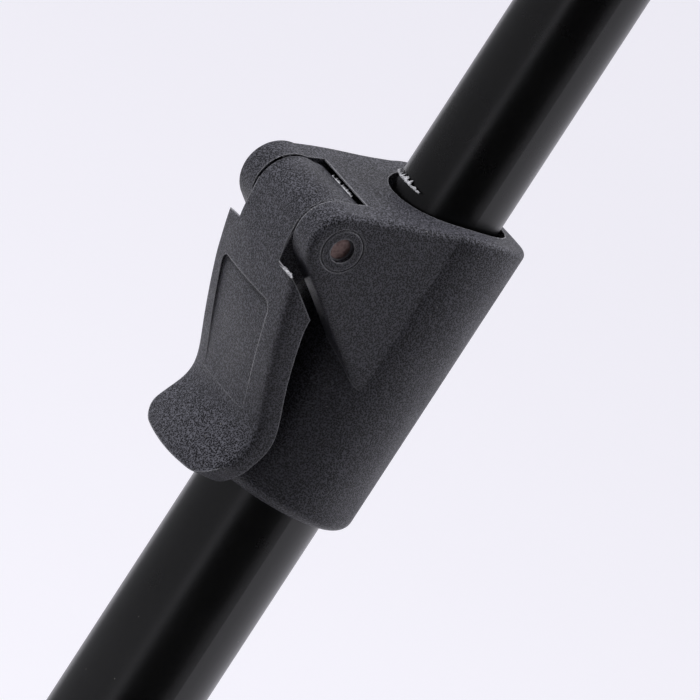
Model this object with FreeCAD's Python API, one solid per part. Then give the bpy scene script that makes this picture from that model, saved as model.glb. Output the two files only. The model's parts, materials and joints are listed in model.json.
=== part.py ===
"""Music stand: a folding three-legged base, a telescopic column locked by a moulded
lever clutch, and a perforated sheet-metal desk on a tilt head.

The row frame has +Z up and its origin on the floor, on the axis of the column. The
player stands on the -Y side, which the desk and the clutch lever both face. Every
length is in millimetres. The clutch is worked out in its own frame, whose origin is
on the column axis at the bottom of the clutch housing.
"""

import FreeCAD
import Part

import math
import os

V = FreeCAD.Vector

# ---------------------------------------------------------------- driving dimensions

# Column tubes
OUTER_R = 9.5  # outer radius of the lower tube
OUTER_WALL = 1.0
INNER_R = 8.0  # outer radius of the upper tube
INNER_WALL = 1.0
INNER_LENGTH = 530.0
EXPOSED = 240.0  # upper tube showing above the clutch at rest
CLUTCH_Z = 590.0  # height of the bottom of the clutch housing
SLIDE_FIT = 0.05  # radial clearance of anything that slides or turns
PRESS_GAP = 0.02  # radial clearance of anything that is driven home and stays

# Clutch housing
HOUSING_R = 12.8
HOUSING_HEIGHT = 48.05
HOUSING_FOOT_FILLET = 2.0
HOUSING_EDGE_FILLET = 1.0
GRIP_LENGTH = 28.35  # how far the lower tube reaches into the housing
THROAT_R = 9.0  # the opening that the upper tube leaves through
EAR_GAP = 7.2  # half of the slot between the two ears
PIN_Y = -19.6
PIN_Z = 38.0
PIN_R = 1.6
PIN_SINK = 0.9  # how far the pin's ends stay below the ears
PIN_SINK_R = 1.8
RING_R = 3.3  # the shallow ring that the core pin leaves round each end of the pin
RING_WIDTH = 0.25
RING_DEPTH = 0.15
EAR_R = 5.3
EAR_SLOPE = 36.0  # degrees that the lower edge of an ear falls towards the column
WEB_Y = -16.7  # front edge of the roof between the ears
EAR_HALF = 12.2  # half of the width over both ears
EAR_ROOT_Y = -3.0  # where the ears end inside the collar
CROWN = ((-19.6, 43.3), (-13.3, 44.9), (-7.5, 46.1), (-1.0, 47.6), (5.0, 48.0), (10.0, 47.6), (13.5, 46.7))

# Clutch lever, measured from the pin
KNUCKLE_R = 5.3
KNUCKLE_HALF = 7.0
CAM_THROW = 1.7
CAM_GAP = 0.15
LEVER_WALL = 2.2
SHOULDER_GAP = 0.7
FIN_GAP = 2.3  # from the round of an ear to the top of the fin below it
SHOE_HALF = 6.4
SHOE_HEIGHT = 10.4
LINER_THICKNESS = 1.2

# Glide and neck bushes
BUSH_LENGTH = 22.0
BUSH_FLANGE = 1.5
GLIDE_LENGTH = 34.0
GLIDE_LIP = 3.0

# Base
HUB_Z = 62.0  # underside of the leg hub
HUB_R = 17.0
HUB_FLOOR = 4.0
HUB_HEIGHT = 40.0
HUB_NECK_R = 13.0  # the narrow foot of the hub, which the folded legs pass
HUB_WAIST_Z = 75.0
LEG_ANGLES = (90.0, 210.0, 330.0)
LEG_PIVOT_R = 22.0
LEG_PIVOT_Z = 84.0
FOOT_AXIS_Z = 12.1  # height of a leg's axis at its end
LEG_REACH = 300.0
LEG_R = 8.0
LEG_WALL = 1.0
CLEVIS_R = 11.5
CLEVIS_HALF = 10.2
TANG_HALF = 5.0
TANG_GAP = 0.2
TANG_HEIGHT = 6.9  # half height of the neck
STOP_GAP = 0.3
TANG_NECK = 20.0
TANG_SHANK = 24.0
LEG_PIN_R = 2.5
RIVET_HEAD_R = 4.2
RIVET_HEAD_H = 1.4
FOOT_R = 9.8
FOOT_LENGTH = 36.0
FOOT_WALL = 4.0
SOLE_HALF = 7.0
PLUG_LENGTH = 16.0
BASE_SCREW_R = 4.0
BASE_SCREW_HEAD = 13.0  # across the flats
WASHER_T = 1.6
WASHER_R = 9.0

# Tilt head and desk
HEAD_R = 11.0
HEAD_SLEEVE = 32.0
HEAD_CROWN = 4.0
TILT_RISE = 24.0  # pivot above the end of the upper tube
LUG_R = 9.0
LUG_HALF = 5.0
TILT_WASHER_T = 0.6
TILT_BOLT_R = 3.0
BRACKET_T = 2.0
BRACKET_W = 56.0
BRACKET_H = 62.0
BRACKET_REACH = 20.5  # pivot to the bracket's plate
BRACKET_EAR_R = 8.5
BRACKET_EAR_ROOT = 17.0
DESK_REST_TILT = 22.0  # degrees that the desk leans back from upright at rest
DESK_T = 1.0
DESK_W = 480.0
DESK_BELOW = 150.0
DESK_ABOVE = 190.0
DESK_CORNER_R = 22.0
LEDGE_DEPTH = 58.0
LIP_HEIGHT = 9.0
HOLE_R = 7.0
HOLE_PITCH = 34.0
HOLE_COLUMNS = 13
HOLE_ROWS = 8
RIVET_X = 20.0
RIVET_Z = 23.0
DESK_RIVET_R = 2.0
DESK_RIVET_HEAD = 3.8
KNOB_R = 17.0
KNOB_LOBES = 5
KNOB_T = 11.0
KNOB_BOSS_R = 8.0
KNOB_BOSS_T = 5.0
KNOB_GAP = 0.4

# ---------------------------------------------------------------- derived places

CLUTCH_TOP = CLUTCH_Z + HOUSING_HEIGHT
TUBE_FOOT_Z = HUB_Z + HUB_FLOOR
TUBE_TOP_Z = CLUTCH_Z + GRIP_LENGTH
MAST_TOP = CLUTCH_TOP + EXPOSED
MAST_FOOT = MAST_TOP - INNER_LENGTH
TILT_Z = MAST_TOP + TILT_RISE
OUTER_BORE = OUTER_R - OUTER_WALL
INNER_BORE = INNER_R - INNER_WALL
LEG_BORE = LEG_R - LEG_WALL
LEG_SLOPE = math.degrees(math.atan2(LEG_PIVOT_Z - FOOT_AXIS_Z, LEG_REACH - LEG_PIVOT_R))
LEG_LENGTH = (LEG_REACH - LEG_PIVOT_R) / math.cos(math.radians(LEG_SLOPE))
CLEVIS_SLOT = TANG_HALF + TANG_GAP
DESK_BACK_Y = -(BRACKET_REACH + BRACKET_T)
X, Y, Z = V(1, 0, 0), V(0, 1, 0), V(0, 0, 1)
AXIS = V(0, 0, 0)


# ---------------------------------------------------------------- helpers

def rod(radius, start, end):
    """A solid cylinder from one point to another."""
    return Part.makeCylinder(radius, (end - start).Length, start, end - start)


def tube(outer, inner, start, end):
    """A round tube from one point to another."""
    return rod(outer, start, end).cut(rod(inner, start, end))


def block(x0, x1, y0, y1, z0, z1):
    """A box between two corners."""
    return Part.makeBox(x1 - x0, y1 - y0, z1 - z0, V(x0, y0, z0))


def face_of(edges):
    """A flat face inside a closed chain of edges."""
    return Part.Face(Part.Wire(Part.__sortEdges__(edges)))


def line(a, b):
    """A straight edge."""
    return Part.LineSegment(a, b).toShape()


def arc(a, middle, b):
    """A round edge through three points."""
    return Part.Arc(a, middle, b).toShape()


def polygon(points):
    """A flat face inside straight edges."""
    return Part.Face(Part.makePolygon(list(points) + [points[0]]))


def side_slab(points, half):
    """A slab with its outline in the YZ plane, running from -half to half along X."""
    flat = polygon([V(-half, y, z) for y, z in points])
    return flat.extrude(V(2 * half, 0, 0))


def edges_where(shape, test):
    """The edges of a shape that pass a test."""
    return [edge for edge in shape.Edges if test(edge)]


def turned(shape, centre, axis, degrees):
    """A copy of a shape turned about an axis."""
    copy = shape.copy()
    copy.rotate(centre, axis, degrees)
    return copy


def moved(shape, offset):
    """A copy of a shape moved by a vector."""
    copy = shape.copy()
    copy.translate(offset)
    return copy


def rounded_plate(width, z_low, z_high, y0, y1, radius_low, radius_high):
    """An upright plate in the XZ plane with rounded corners."""
    plate = block(-width / 2, width / 2, y0, y1, z_low, z_high)
    middle = (z_low + z_high) / 2
    for radius, low in ((radius_low, True), (radius_high, False)):
        if radius > 0:
            corners = edges_where(plate, lambda e: is_corner(e, width / 2, middle, low))
            plate = plate.makeFillet(radius, corners)
    return plate


def is_corner(edge, half_width, middle, low):
    """Whether an edge runs along Y at a lower or upper corner of a plate."""
    along_y = edge.BoundBox.YLength > 1e-6 and edge.BoundBox.ZLength < 1e-6
    at_side = abs(abs(edge.CenterOfMass.x) - half_width) < 1e-6
    return along_y and at_side and (edge.CenterOfMass.z < middle) == low


def in_row(shape):
    """A clutch piece carried from the clutch frame to the row frame."""
    return moved(shape, V(0, 0, CLUTCH_Z))


# ---------------------------------------------------------------- clutch

PIN = V(0, PIN_Y, PIN_Z)


def crown_curve():
    """The side view of the housing's top, from above the pin to the back of the collar."""
    curve = Part.BSplineCurve()
    curve.interpolate([V(0, y, z) for y, z in CROWN])
    return curve.toShape()


def ear_outline():
    """The side view of an ear, from the column axis round the pin and back."""
    slope = math.radians(EAR_SLOPE)
    tangent = V(0, PIN_Y - EAR_R * math.sin(slope), PIN_Z - EAR_R * math.cos(slope))
    root = V(0, EAR_ROOT_Y, tangent.z + (tangent.y - EAR_ROOT_Y) * math.tan(slope))
    crown = V(0, PIN_Y, PIN_Z + EAR_R)
    front = V(0, PIN_Y - EAR_R, PIN_Z)
    top = V(0, EAR_ROOT_Y, HOUSING_HEIGHT)
    return [line(root, tangent), arc(tangent, front, crown),
            line(crown, V(0, PIN_Y, HOUSING_HEIGHT)), line(V(0, PIN_Y, HOUSING_HEIGHT), top),
            line(top, root)]


def above_crown():
    """Everything above the housing's curved top."""
    first, last = V(0, *CROWN[0]), V(0, *CROWN[-1])
    ceiling = HOUSING_HEIGHT + 10
    side = face_of([crown_curve(), line(last, V(0, last.y, ceiling)),
                    line(V(0, last.y, ceiling), V(0, first.y, ceiling)),
                    line(V(0, first.y, ceiling), first)])
    return moved(side, V(-30, 0, 0)).extrude(V(60, 0, 0))


def clutch_housing():
    """The moulded body: a cylinder with two ears, bored for both tubes."""
    body = rod(HOUSING_R, AXIS, V(0, 0, HOUSING_HEIGHT))
    body = body.makeFillet(HOUSING_FOOT_FILLET, edges_where(body, lambda e: e.BoundBox.ZMax < 1e-6))
    body = body.cut(above_crown())
    rim = edges_where(body, lambda e: e.BoundBox.ZMin > CROWN[0][1] - 3)
    body = body.makeFillet(HOUSING_EDGE_FILLET, rim)
    ears = moved(face_of(ear_outline()), V(-EAR_HALF, 0, 0)).extrude(V(2 * EAR_HALF, 0, 0))
    ears = ears.cut(above_crown())
    rim = edges_where(ears, lambda e: is_ear_rim(e))
    ears = ears.makeFillet(HOUSING_EDGE_FILLET, rim)
    body = body.fuse(ears)
    low, high = V(0, 0, -1), V(0, 0, HOUSING_HEIGHT + 1)
    flange_top = GRIP_LENGTH + BUSH_FLANGE
    body = body.cut(rod(OUTER_R + PRESS_GAP, low, V(0, 0, flange_top)))
    body = body.cut(rod(THROAT_R, low, high))
    body = body.cut(lever_slot()).cut(rod(PIN_R + PRESS_GAP, PIN - X * 20, PIN + X * 20))
    for way in (-1, 1):
        sink = rod(PIN_SINK_R, PIN + X * (way * (EAR_HALF - PIN_SINK)), PIN + X * (way * 20))
        body = body.cut(sink)
        face = PIN + X * (way * EAR_HALF)
        body = body.cut(tube(RING_R, RING_R - RING_WIDTH, face - X * (way * RING_DEPTH), face + X * way))
    return body


def is_ear_rim(edge):
    """Whether an edge runs round the outer side of an ear, clear of the column axis."""
    box = edge.BoundBox
    beside = abs(abs(edge.CenterOfMass.x) - EAR_HALF) < 1e-3 and box.XLength < 1e-3
    return beside and box.YMin < EAR_ROOT_Y - 0.01


def lever_slot():
    """What is cut away between the ears: room for the knuckle, the neck and the shoe."""
    reach = PIN_Y - 3 * EAR_R
    floor_z = PIN_Z - SHOE_HEIGHT / 2 - 0.6
    roof_z = PIN_Z + SHOE_HEIGHT / 2 + 0.2
    front = block(-EAR_GAP, EAR_GAP, reach, WEB_Y, 0, HOUSING_HEIGHT + 1)
    throat = block(-EAR_GAP, EAR_GAP, reach, 0, floor_z, roof_z)
    below = block(-EAR_GAP, EAR_GAP, reach, 0, 0, floor_z).cut(
        rod(HOUSING_R, V(0, 0, -1), V(0, 0, HOUSING_HEIGHT + 1)))
    room = KNUCKLE_R + SHOULDER_GAP
    cam_end = V(0, PIN_Y + CAM_THROW, PIN_Z)
    slot = front.fuse(throat).fuse(below)
    for centre in (PIN, cam_end):
        slot = slot.fuse(rod(room, centre - X * EAR_GAP, centre + X * EAR_GAP))
    return slot


# Level below the pin, half width, front at the middle, front at the sides, back.
LEVER_SECTIONS = (
    (-4.0, 11.9, -5.15, -4.2, 2.2),
    (-9.2, 11.8, -4.1, -2.9, 2.1),
    (-13.7, 11.8, -2.6, -1.3, 2.6),
    (-18.7, 11.7, -0.5, 0.8, 4.2),
    (-23.2, 11.35, 1.6, 2.8, 6.2),
    (-27.2, 11.3, 3.5, 4.8, 8.0),
    (-30.4, 11.4, 4.1, 5.6, 8.7),
    (-33.6, 11.5, 2.9, 4.4, 7.6),
    (-36.1, 11.6, 1.8, 3.2, 6.0),
    (-39.2, 11.6, 1.3, 2.6, 4.3),
)

# The neck between the knuckle and the blade, in the side view.
LEVER_NECK = ((-5.3, 0.0), (-5.05, -4.0), (-3.2, -9.0), (-1.0, -9.0), (4.3, -3.0), (5.3, 0.0))
PADDLE_HALF = 11.5
PADDLE_CORNER_R = 4.5
PADDLE_WAIST = -27.5
PADDLE_LEVEL = -38.8  # the lower end of the lever, measured from the pin


def lever_section(level, half, middle, side, back):
    """One level section through the lever: a crowned front, straight flanks, flat back."""
    z = PIN_Z + level
    left_front, right_front = V(-half, PIN_Y + side, z), V(half, PIN_Y + side, z)
    left_back, right_back = V(-half, PIN_Y + back, z), V(half, PIN_Y + back, z)
    return Part.Wire([
        arc(left_front, V(0, PIN_Y + middle, z), right_front),
        line(right_front, right_back),
        line(right_back, left_back),
        line(left_back, left_front),
    ])


def clutch_lever():
    """The moulded lever: a knuckle with a cam, a neck, and a channel-shaped blade."""
    blade = Part.makeLoft([lever_section(*s) for s in LEVER_SECTIONS], True, False)
    hollow = Part.makeLoft([lever_section(s[0], s[1] - LEVER_WALL, s[2] + LEVER_WALL,
                                          s[3] + LEVER_WALL, s[4] + 6)
                            for s in LEVER_SECTIONS[:-2]], True, False)
    slope = math.radians(EAR_SLOPE)
    above = block(-20, -KNUCKLE_HALF, -40, 40, 0, 40)
    above = above.fuse(block(KNUCKLE_HALF, 20, -40, 40, 0, 40))
    above = turned(above, AXIS, X, -EAR_SLOPE)
    start = V(0, -(EAR_R + FIN_GAP) * math.sin(slope), -(EAR_R + FIN_GAP) * math.cos(slope))
    above = moved(above, PIN + start)
    blade = blade.cut(hollow).cut(above)
    clearance = rod(HOUSING_R + 0.4, V(0, 0, -20), V(0, 0, HOUSING_HEIGHT))
    low, waist = PIN_Z + PADDLE_LEVEL, PIN_Z + PADDLE_WAIST
    trim = rounded_plate(2 * PADDLE_HALF, low, waist, -40, 0, PADDLE_CORNER_R, 0)
    trim = trim.fuse(block(-HOUSING_R, HOUSING_R, -40, 0, waist, PIN_Z))
    blade = blade.cut(clearance).common(trim)
    ends = V(0, PIN_Y + CAM_THROW, PIN_Z)
    knuckle = rod(KNUCKLE_R, PIN - X * KNUCKLE_HALF, PIN + X * KNUCKLE_HALF)
    cam = rod(KNUCKLE_R, ends - X * KNUCKLE_HALF, ends + X * KNUCKLE_HALF)
    bridge = block(-KNUCKLE_HALF, KNUCKLE_HALF, PIN_Y, PIN_Y + CAM_THROW,
                   PIN_Z - KNUCKLE_R, PIN_Z + KNUCKLE_R)
    neck = moved(side_slab(LEVER_NECK, KNUCKLE_HALF), PIN)
    lever = blade.fuse(knuckle).fuse(cam).fuse(bridge).fuse(neck)
    return lever.cut(rod(PIN_R + SLIDE_FIT, PIN - X * 20, PIN + X * 20))


def lever_pin():
    """The steel pin through both ears, its ends just below their outer faces."""
    half = EAR_HALF - PIN_SINK
    return rod(PIN_R, PIN - X * half, PIN + X * half)


def shoe_blank(y_front, y_back):
    """A block behind the cam, hollowed to the upper tube."""
    low, high = PIN_Z - SHOE_HEIGHT / 2, PIN_Z + SHOE_HEIGHT / 2
    shape = block(-SHOE_HALF, SHOE_HALF, y_front, y_back, low, high)
    return shape


def clamp_shoe():
    """The block that the cam drives towards the column."""
    back = PIN_Y + KNUCKLE_R + CAM_THROW + CAM_GAP
    blank = shoe_blank(back, 0)
    return blank.cut(rod(INNER_R + SLIDE_FIT + LINER_THICKNESS, AXIS, V(0, 0, 60)))


def shoe_liner():
    """The soft lining between the shoe and the upper tube."""
    back = PIN_Y + KNUCKLE_R + CAM_THROW + CAM_GAP
    ring = tube(INNER_R + SLIDE_FIT + LINER_THICKNESS, INNER_R + SLIDE_FIT, AXIS, V(0, 0, 60))
    reach = (INNER_R + SLIDE_FIT) * math.cos(math.radians(52))
    return ring.common(shoe_blank(back, -reach))


def neck_bush():
    """The flanged bush in the mouth of the lower tube, which guides the upper tube."""
    mouth = GRIP_LENGTH
    sleeve = rod(OUTER_BORE - PRESS_GAP, V(0, 0, mouth - BUSH_LENGTH), V(0, 0, mouth))
    flange = rod(OUTER_R, V(0, 0, mouth), V(0, 0, mouth + BUSH_FLANGE))
    bore = rod(INNER_R + SLIDE_FIT, V(0, 0, -5), V(0, 0, HOUSING_HEIGHT))
    return sleeve.fuse(flange).cut(bore)


GRUB_Z = 9.0
GRUB_R = 2.0
GRUB_LENGTH = 2.9
GRUB_KEY = 2.0


def grub_hole():
    """The tapped hole in the back of the housing."""
    return rod(GRUB_R + PRESS_GAP, V(0, OUTER_R - 1, GRUB_Z), V(0, HOUSING_R + 1, GRUB_Z))


def housing_grub_screw():
    """The socket screw that fixes the housing to the lower tube."""
    start = V(0, OUTER_R + PRESS_GAP, GRUB_Z)
    screw = rod(GRUB_R, start, start + Y * GRUB_LENGTH)
    points = [V(GRUB_KEY / 2 / math.cos(math.pi / 6) * math.cos(math.radians(60 * i)),
                start.y + GRUB_LENGTH - 1.4,
                GRUB_Z + GRUB_KEY / 2 / math.cos(math.pi / 6) * math.sin(math.radians(60 * i)))
              for i in range(6)]
    return screw.cut(polygon(points).extrude(Y * 3))


# ---------------------------------------------------------------- column

def outer_tube():
    """The lower tube, from the leg hub to the clutch."""
    return tube(OUTER_R, OUTER_BORE, V(0, 0, TUBE_FOOT_Z), V(0, 0, TUBE_TOP_Z))


def inner_tube():
    """The upper tube, cross-drilled for the head's rivet."""
    mast = tube(INNER_R, INNER_BORE, V(0, 0, MAST_FOOT), V(0, 0, MAST_TOP))
    return mast.cut(rod(HEAD_RIVET_R + PRESS_GAP, HEAD_RIVET - Y * 20, HEAD_RIVET + Y * 20))


def glide_bush():
    """The plastic glide on the foot of the upper tube, which runs in the lower tube."""
    low, mouth = V(0, 0, MAST_FOOT - GLIDE_LIP), V(0, 0, MAST_FOOT)
    lip = rod(OUTER_BORE - SLIDE_FIT, low, mouth - Z * SLIDE_FIT)
    spigot = rod(INNER_BORE - SLIDE_FIT, low, mouth + Z * GLIDE_LENGTH)
    return lip.fuse(spigot).cut(rod(INNER_BORE - 2.0, low - Z, mouth + Z * (GLIDE_LENGTH + 1)))


# ---------------------------------------------------------------- base

def at_leg(shape, index):
    """A piece modelled for a leg along +X, turned to the angle of one leg."""
    return turned(shape, AXIS, Z, LEG_ANGLES[index])


def from_pivot(x, z):
    """A point in the XZ plane, measured from the pivot of a leg along +X."""
    return V(LEG_PIVOT_R + x, 0, LEG_PIVOT_Z + z)


def clevis_blank():
    """One fork of the hub, before its slot: the side view in the XZ plane."""
    bend = CLEVIS_R * math.sqrt(0.5)
    crown, nose = from_pivot(0, CLEVIS_R), from_pivot(CLEVIS_R, 0)
    chin = from_pivot(bend, -bend)
    throat = V(0, 0, chin.z - 3)
    root = V(0, 0, HUB_Z + HUB_HEIGHT - 2)
    side = face_of([arc(chin, nose, crown), line(crown, root), line(root, throat),
                    line(throat, chin)])
    fork = moved(side, V(0, -CLEVIS_HALF, 0)).extrude(V(0, 2 * CLEVIS_HALF, 0))
    outside = edges_where(fork, lambda e: abs(abs(e.CenterOfMass.y) - CLEVIS_HALF) < 1e-6
                          and e.CenterOfMass.x > 1)
    return fork.makeFillet(1.5, outside)


def clevis_slot():
    """The room for one leg's cast end, closed above it by the stop that the leg bears on."""
    slope = math.radians(LEG_SLOPE)
    rise = TANG_HEIGHT + STOP_GAP
    start = from_pivot(rise * math.sin(slope), rise * math.cos(slope))
    end = start + V(60 * math.cos(slope), 0, -60 * math.sin(slope))
    inner = HUB_NECK_R + 0.2
    corners = [V(inner, 0, 0), V(inner, 0, LEG_PIVOT_Z), start, end, V(end.x, 0, 0)]
    slot = moved(polygon(corners), V(0, -CLEVIS_SLOT, 0)).extrude(V(0, 2 * CLEVIS_SLOT, 0))
    eye = rod(LEG_R + 0.6, from_pivot(0, 0) - Y * CLEVIS_SLOT, from_pivot(0, 0) + Y * CLEVIS_SLOT)
    return slot.fuse(eye)


def leg_hub():
    """The cast hub: a socket for the column and three forks for the legs."""
    top = HUB_Z + HUB_HEIGHT
    body = rod(HUB_R, V(0, 0, HUB_WAIST_Z), V(0, 0, top))
    body = body.makeFillet(2.0, edges_where(body, lambda e: e.BoundBox.ZLength < 1e-6))
    neck = rod(HUB_NECK_R, V(0, 0, HUB_Z), V(0, 0, HUB_WAIST_Z + 4))
    neck = neck.makeFillet(1.5, edges_where(neck, lambda e: e.BoundBox.ZMax < HUB_Z + 1e-6))
    body = body.fuse(neck)
    fork, slot = clevis_blank(), clevis_slot()
    pin_hole = rod(LEG_PIN_R + PRESS_GAP, from_pivot(0, 0) - Y * 30, from_pivot(0, 0) + Y * 30)
    for i in range(len(LEG_ANGLES)):
        body = body.fuse(at_leg(fork, i))
    for i in range(len(LEG_ANGLES)):
        body = body.cut(at_leg(slot, i)).cut(at_leg(pin_hole, i))
    body = body.cut(rod(OUTER_R + PRESS_GAP, V(0, 0, TUBE_FOOT_Z), V(0, 0, 200)))
    return body.cut(rod(BASE_SCREW_R + 0.3, V(0, 0, 0), V(0, 0, 200)))


def leg_pin(index):
    """The rivet that a leg turns on."""
    end = CLEVIS_HALF + SLIDE_FIT
    a, b = V(LEG_PIVOT_R, -end, LEG_PIVOT_Z), V(LEG_PIVOT_R, end, LEG_PIVOT_Z)
    pin = rod(LEG_PIN_R, a, b)
    for start, way in ((a, -1), (b, 1)):
        head = rod(RIVET_HEAD_R, start, start + Y * (way * RIVET_HEAD_H))
        outer = edges_where(head, lambda e: abs(abs(e.CenterOfMass.y) - end - RIVET_HEAD_H) < 1e-3)
        pin = pin.fuse(head.makeFillet(RIVET_HEAD_H * 0.9, outer))
    return at_leg(pin, index)


def on_leg(shape, index):
    """A piece modelled along +X from a leg's pivot, put in its place."""
    sloped = moved(turned(shape, AXIS, Y, LEG_SLOPE), V(LEG_PIVOT_R, 0, LEG_PIVOT_Z))
    return at_leg(sloped, index)


def leg_tang(index):
    """The cast end of a leg, which turns in the hub."""
    head = rod(LEG_R, V(0, -TANG_HALF, 0), V(0, TANG_HALF, 0))
    neck = block(0, TANG_NECK - 3, -TANG_HALF, TANG_HALF, -TANG_HEIGHT, TANG_HEIGHT)
    collar = rod(LEG_R, V(TANG_NECK - 4, 0, 0), V(TANG_NECK, 0, 0))
    shank = rod(LEG_BORE - PRESS_GAP, V(TANG_NECK, 0, 0), V(TANG_NECK + TANG_SHANK, 0, 0))
    tang = head.fuse(neck).fuse(collar).fuse(shank)
    return on_leg(tang.cut(rod(LEG_PIN_R + SLIDE_FIT, V(0, -9, 0), V(0, 9, 0))), index)


def leg_tube(index):
    """A leg's tube, from its cast end to its foot."""
    end = LEG_LENGTH - FOOT_WALL
    return on_leg(tube(LEG_R, LEG_BORE, V(TANG_NECK, 0, 0), V(end, 0, 0)), index)


def foot_cap(index):
    """The rubber foot: a cup over the end of the leg, with a flat sole on the floor."""
    start, end = V(LEG_LENGTH - FOOT_LENGTH, 0, 0), V(LEG_LENGTH, 0, 0)
    cup = rod(FOOT_R, start, end)
    cup = cup.makeFillet(2.5, edges_where(cup, lambda e: e.BoundBox.XMin > LEG_LENGTH - 1))
    cup = moved(turned(cup, AXIS, Y, LEG_SLOPE), V(LEG_PIVOT_R, 0, LEG_PIVOT_Z))
    axis_z = LEG_PIVOT_Z - LEG_LENGTH * math.sin(math.radians(LEG_SLOPE))
    sole = block(LEG_REACH - 0.75 * FOOT_LENGTH, LEG_REACH - 1, -SOLE_HALF, SOLE_HALF, 0, axis_z + 3)
    sole = sole.makeFillet(3.0, edges_where(sole, lambda e: e.BoundBox.ZLength > axis_z))
    bore = rod(LEG_R + PRESS_GAP, start - X * 50, V(LEG_LENGTH - FOOT_WALL, 0, 0))
    bore = moved(turned(bore, AXIS, Y, LEG_SLOPE), V(LEG_PIVOT_R, 0, LEG_PIVOT_Z))
    foot = cup.fuse(sole).cut(bore).cut(block(0, 400, -50, 50, -50, 0))
    return at_leg(foot, index)


def tube_plug():
    """The threaded steel plug in the foot of the lower tube."""
    low, high = V(0, 0, TUBE_FOOT_Z), V(0, 0, TUBE_FOOT_Z + PLUG_LENGTH)
    return tube(OUTER_BORE - PRESS_GAP, BASE_SCREW_R + SLIDE_FIT, low, high)


def base_washer():
    """The washer under the hub."""
    return tube(WASHER_R, BASE_SCREW_R + 0.3, V(0, 0, HUB_Z - WASHER_T), V(0, 0, HUB_Z))


def base_screw():
    """The hexagon screw that pulls the column into the hub."""
    top = HUB_Z - WASHER_T
    corner = BASE_SCREW_HEAD / 2 / math.cos(math.pi / 6)
    points = [V(corner * math.cos(math.radians(60 * i)), corner * math.sin(math.radians(60 * i)),
                top - 5.5) for i in range(6)]
    head = polygon(points).extrude(Z * 5.5)
    cone = Part.makeCone(corner - 1.6, corner + 3.0, 5.5, V(0, 0, top - 5.5), Z)
    shank = rod(BASE_SCREW_R, V(0, 0, top - 1), V(0, 0, TUBE_FOOT_Z + PLUG_LENGTH - 2))
    return head.common(cone).fuse(shank)


# ---------------------------------------------------------------- tilt head and desk

def tilt_head():
    """The moulded head on the upper tube, with the lug that the desk turns on."""
    low = V(0, 0, MAST_TOP - HEAD_SLEEVE)
    crown = V(0, 0, MAST_TOP + HEAD_CROWN)
    sleeve = rod(HEAD_R, low, crown)
    ring = edges_where(sleeve, lambda e: e.BoundBox.ZMin > crown.z - 1e-6)
    sleeve = sleeve.makeFillet(2.0, ring)
    pivot = V(0, 0, TILT_Z)
    eye = rod(LUG_R, pivot - X * LUG_HALF, pivot + X * LUG_HALF)
    stem = block(-LUG_HALF, LUG_HALF, -LUG_R, LUG_R, MAST_TOP, TILT_Z)
    head = sleeve.fuse(eye).fuse(stem)
    head = head.cut(rod(INNER_R + PRESS_GAP, low - Z, V(0, 0, MAST_TOP)))
    head = head.cut(rod(HEAD_RIVET_R + PRESS_GAP, HEAD_RIVET - Y * 20, HEAD_RIVET + Y * 20))
    return head.cut(rod(TILT_BOLT_R + SLIDE_FIT, pivot - X * 20, pivot + X * 20))


HEAD_RIVET_R = 1.6
HEAD_RIVET = V(0, 0, MAST_TOP - HEAD_SLEEVE / 2)


def head_rivet():
    """The rivet through the head and the upper tube."""
    half = HEAD_R + 0.1
    pin = rod(HEAD_RIVET_R, HEAD_RIVET - Y * half, HEAD_RIVET + Y * half)
    for way in (-1, 1):
        start = HEAD_RIVET + Y * (way * half)
        head = rod(2.8, start, start + Y * (way * 1.0))
        outer = edges_where(head, lambda e: abs(abs(e.CenterOfMass.y) - half - 1.0) < 1e-3)
        pin = pin.fuse(head.makeFillet(0.8, outer))
    return pin


def tilted(shape):
    """A desk piece modelled upright about the pivot, leaned back to its rest angle."""
    raised = moved(shape, V(0, 0, TILT_Z))
    return turned(raised, V(0, 0, TILT_Z), X, -DESK_REST_TILT)


def desk_plate():
    """The sheet-metal desk: a perforated back, a ledge and a low lip in one bent sheet."""
    front, back = DESK_BACK_Y - DESK_T, DESK_BACK_Y
    plate = rounded_plate(DESK_W, -DESK_BELOW, DESK_ABOVE, front, back, 0, DESK_CORNER_R)
    holes = []
    for column in range(HOLE_COLUMNS):
        for row in range(HOLE_ROWS):
            x = (column - (HOLE_COLUMNS - 1) / 2) * HOLE_PITCH
            z = (DESK_ABOVE - DESK_BELOW) / 2 + 12 + (row - (HOLE_ROWS - 1) / 2) * HOLE_PITCH
            near = abs(x) < BRACKET_W / 2 + HOLE_R and abs(z) < BRACKET_H / 2 + HOLE_R
            if not near:
                holes.append(rod(HOLE_R, V(x, front - 1, z), V(x, back + 1, z)))
    plate = plate.cut(Part.makeCompound(holes))
    ledge_y = front - LEDGE_DEPTH
    ledge = block(-DESK_W / 2, DESK_W / 2, ledge_y, back, -DESK_BELOW, -DESK_BELOW + DESK_T)
    lip = block(-DESK_W / 2, DESK_W / 2, ledge_y, ledge_y + DESK_T,
                -DESK_BELOW, -DESK_BELOW + LIP_HEIGHT)
    trim = edges_where(lip, lambda e: e.BoundBox.YLength > 0.1 and e.BoundBox.XLength < 1e-6
                       and e.BoundBox.ZLength < 1e-6 and e.CenterOfMass.z > -DESK_BELOW + 1)
    lip = lip.makeFillet(5.0, trim)
    sheet = plate.fuse(ledge).fuse(lip).removeSplitter()
    outer = edges_where(sheet, lambda e: e.BoundBox.XLength > DESK_W - 1 and (
        e.CenterOfMass.sub(V(0, back, -DESK_BELOW)).Length < 1e-3
        or e.CenterOfMass.sub(V(0, ledge_y, -DESK_BELOW)).Length < 1e-3))
    sheet = sheet.makeFillet(DESK_T * 0.95, outer)
    for way in (-1, 1):
        for side in (-1, 1):
            sheet = sheet.cut(rivet_hole(way * RIVET_X, side * RIVET_Z))
    return tilted(sheet)


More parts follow.
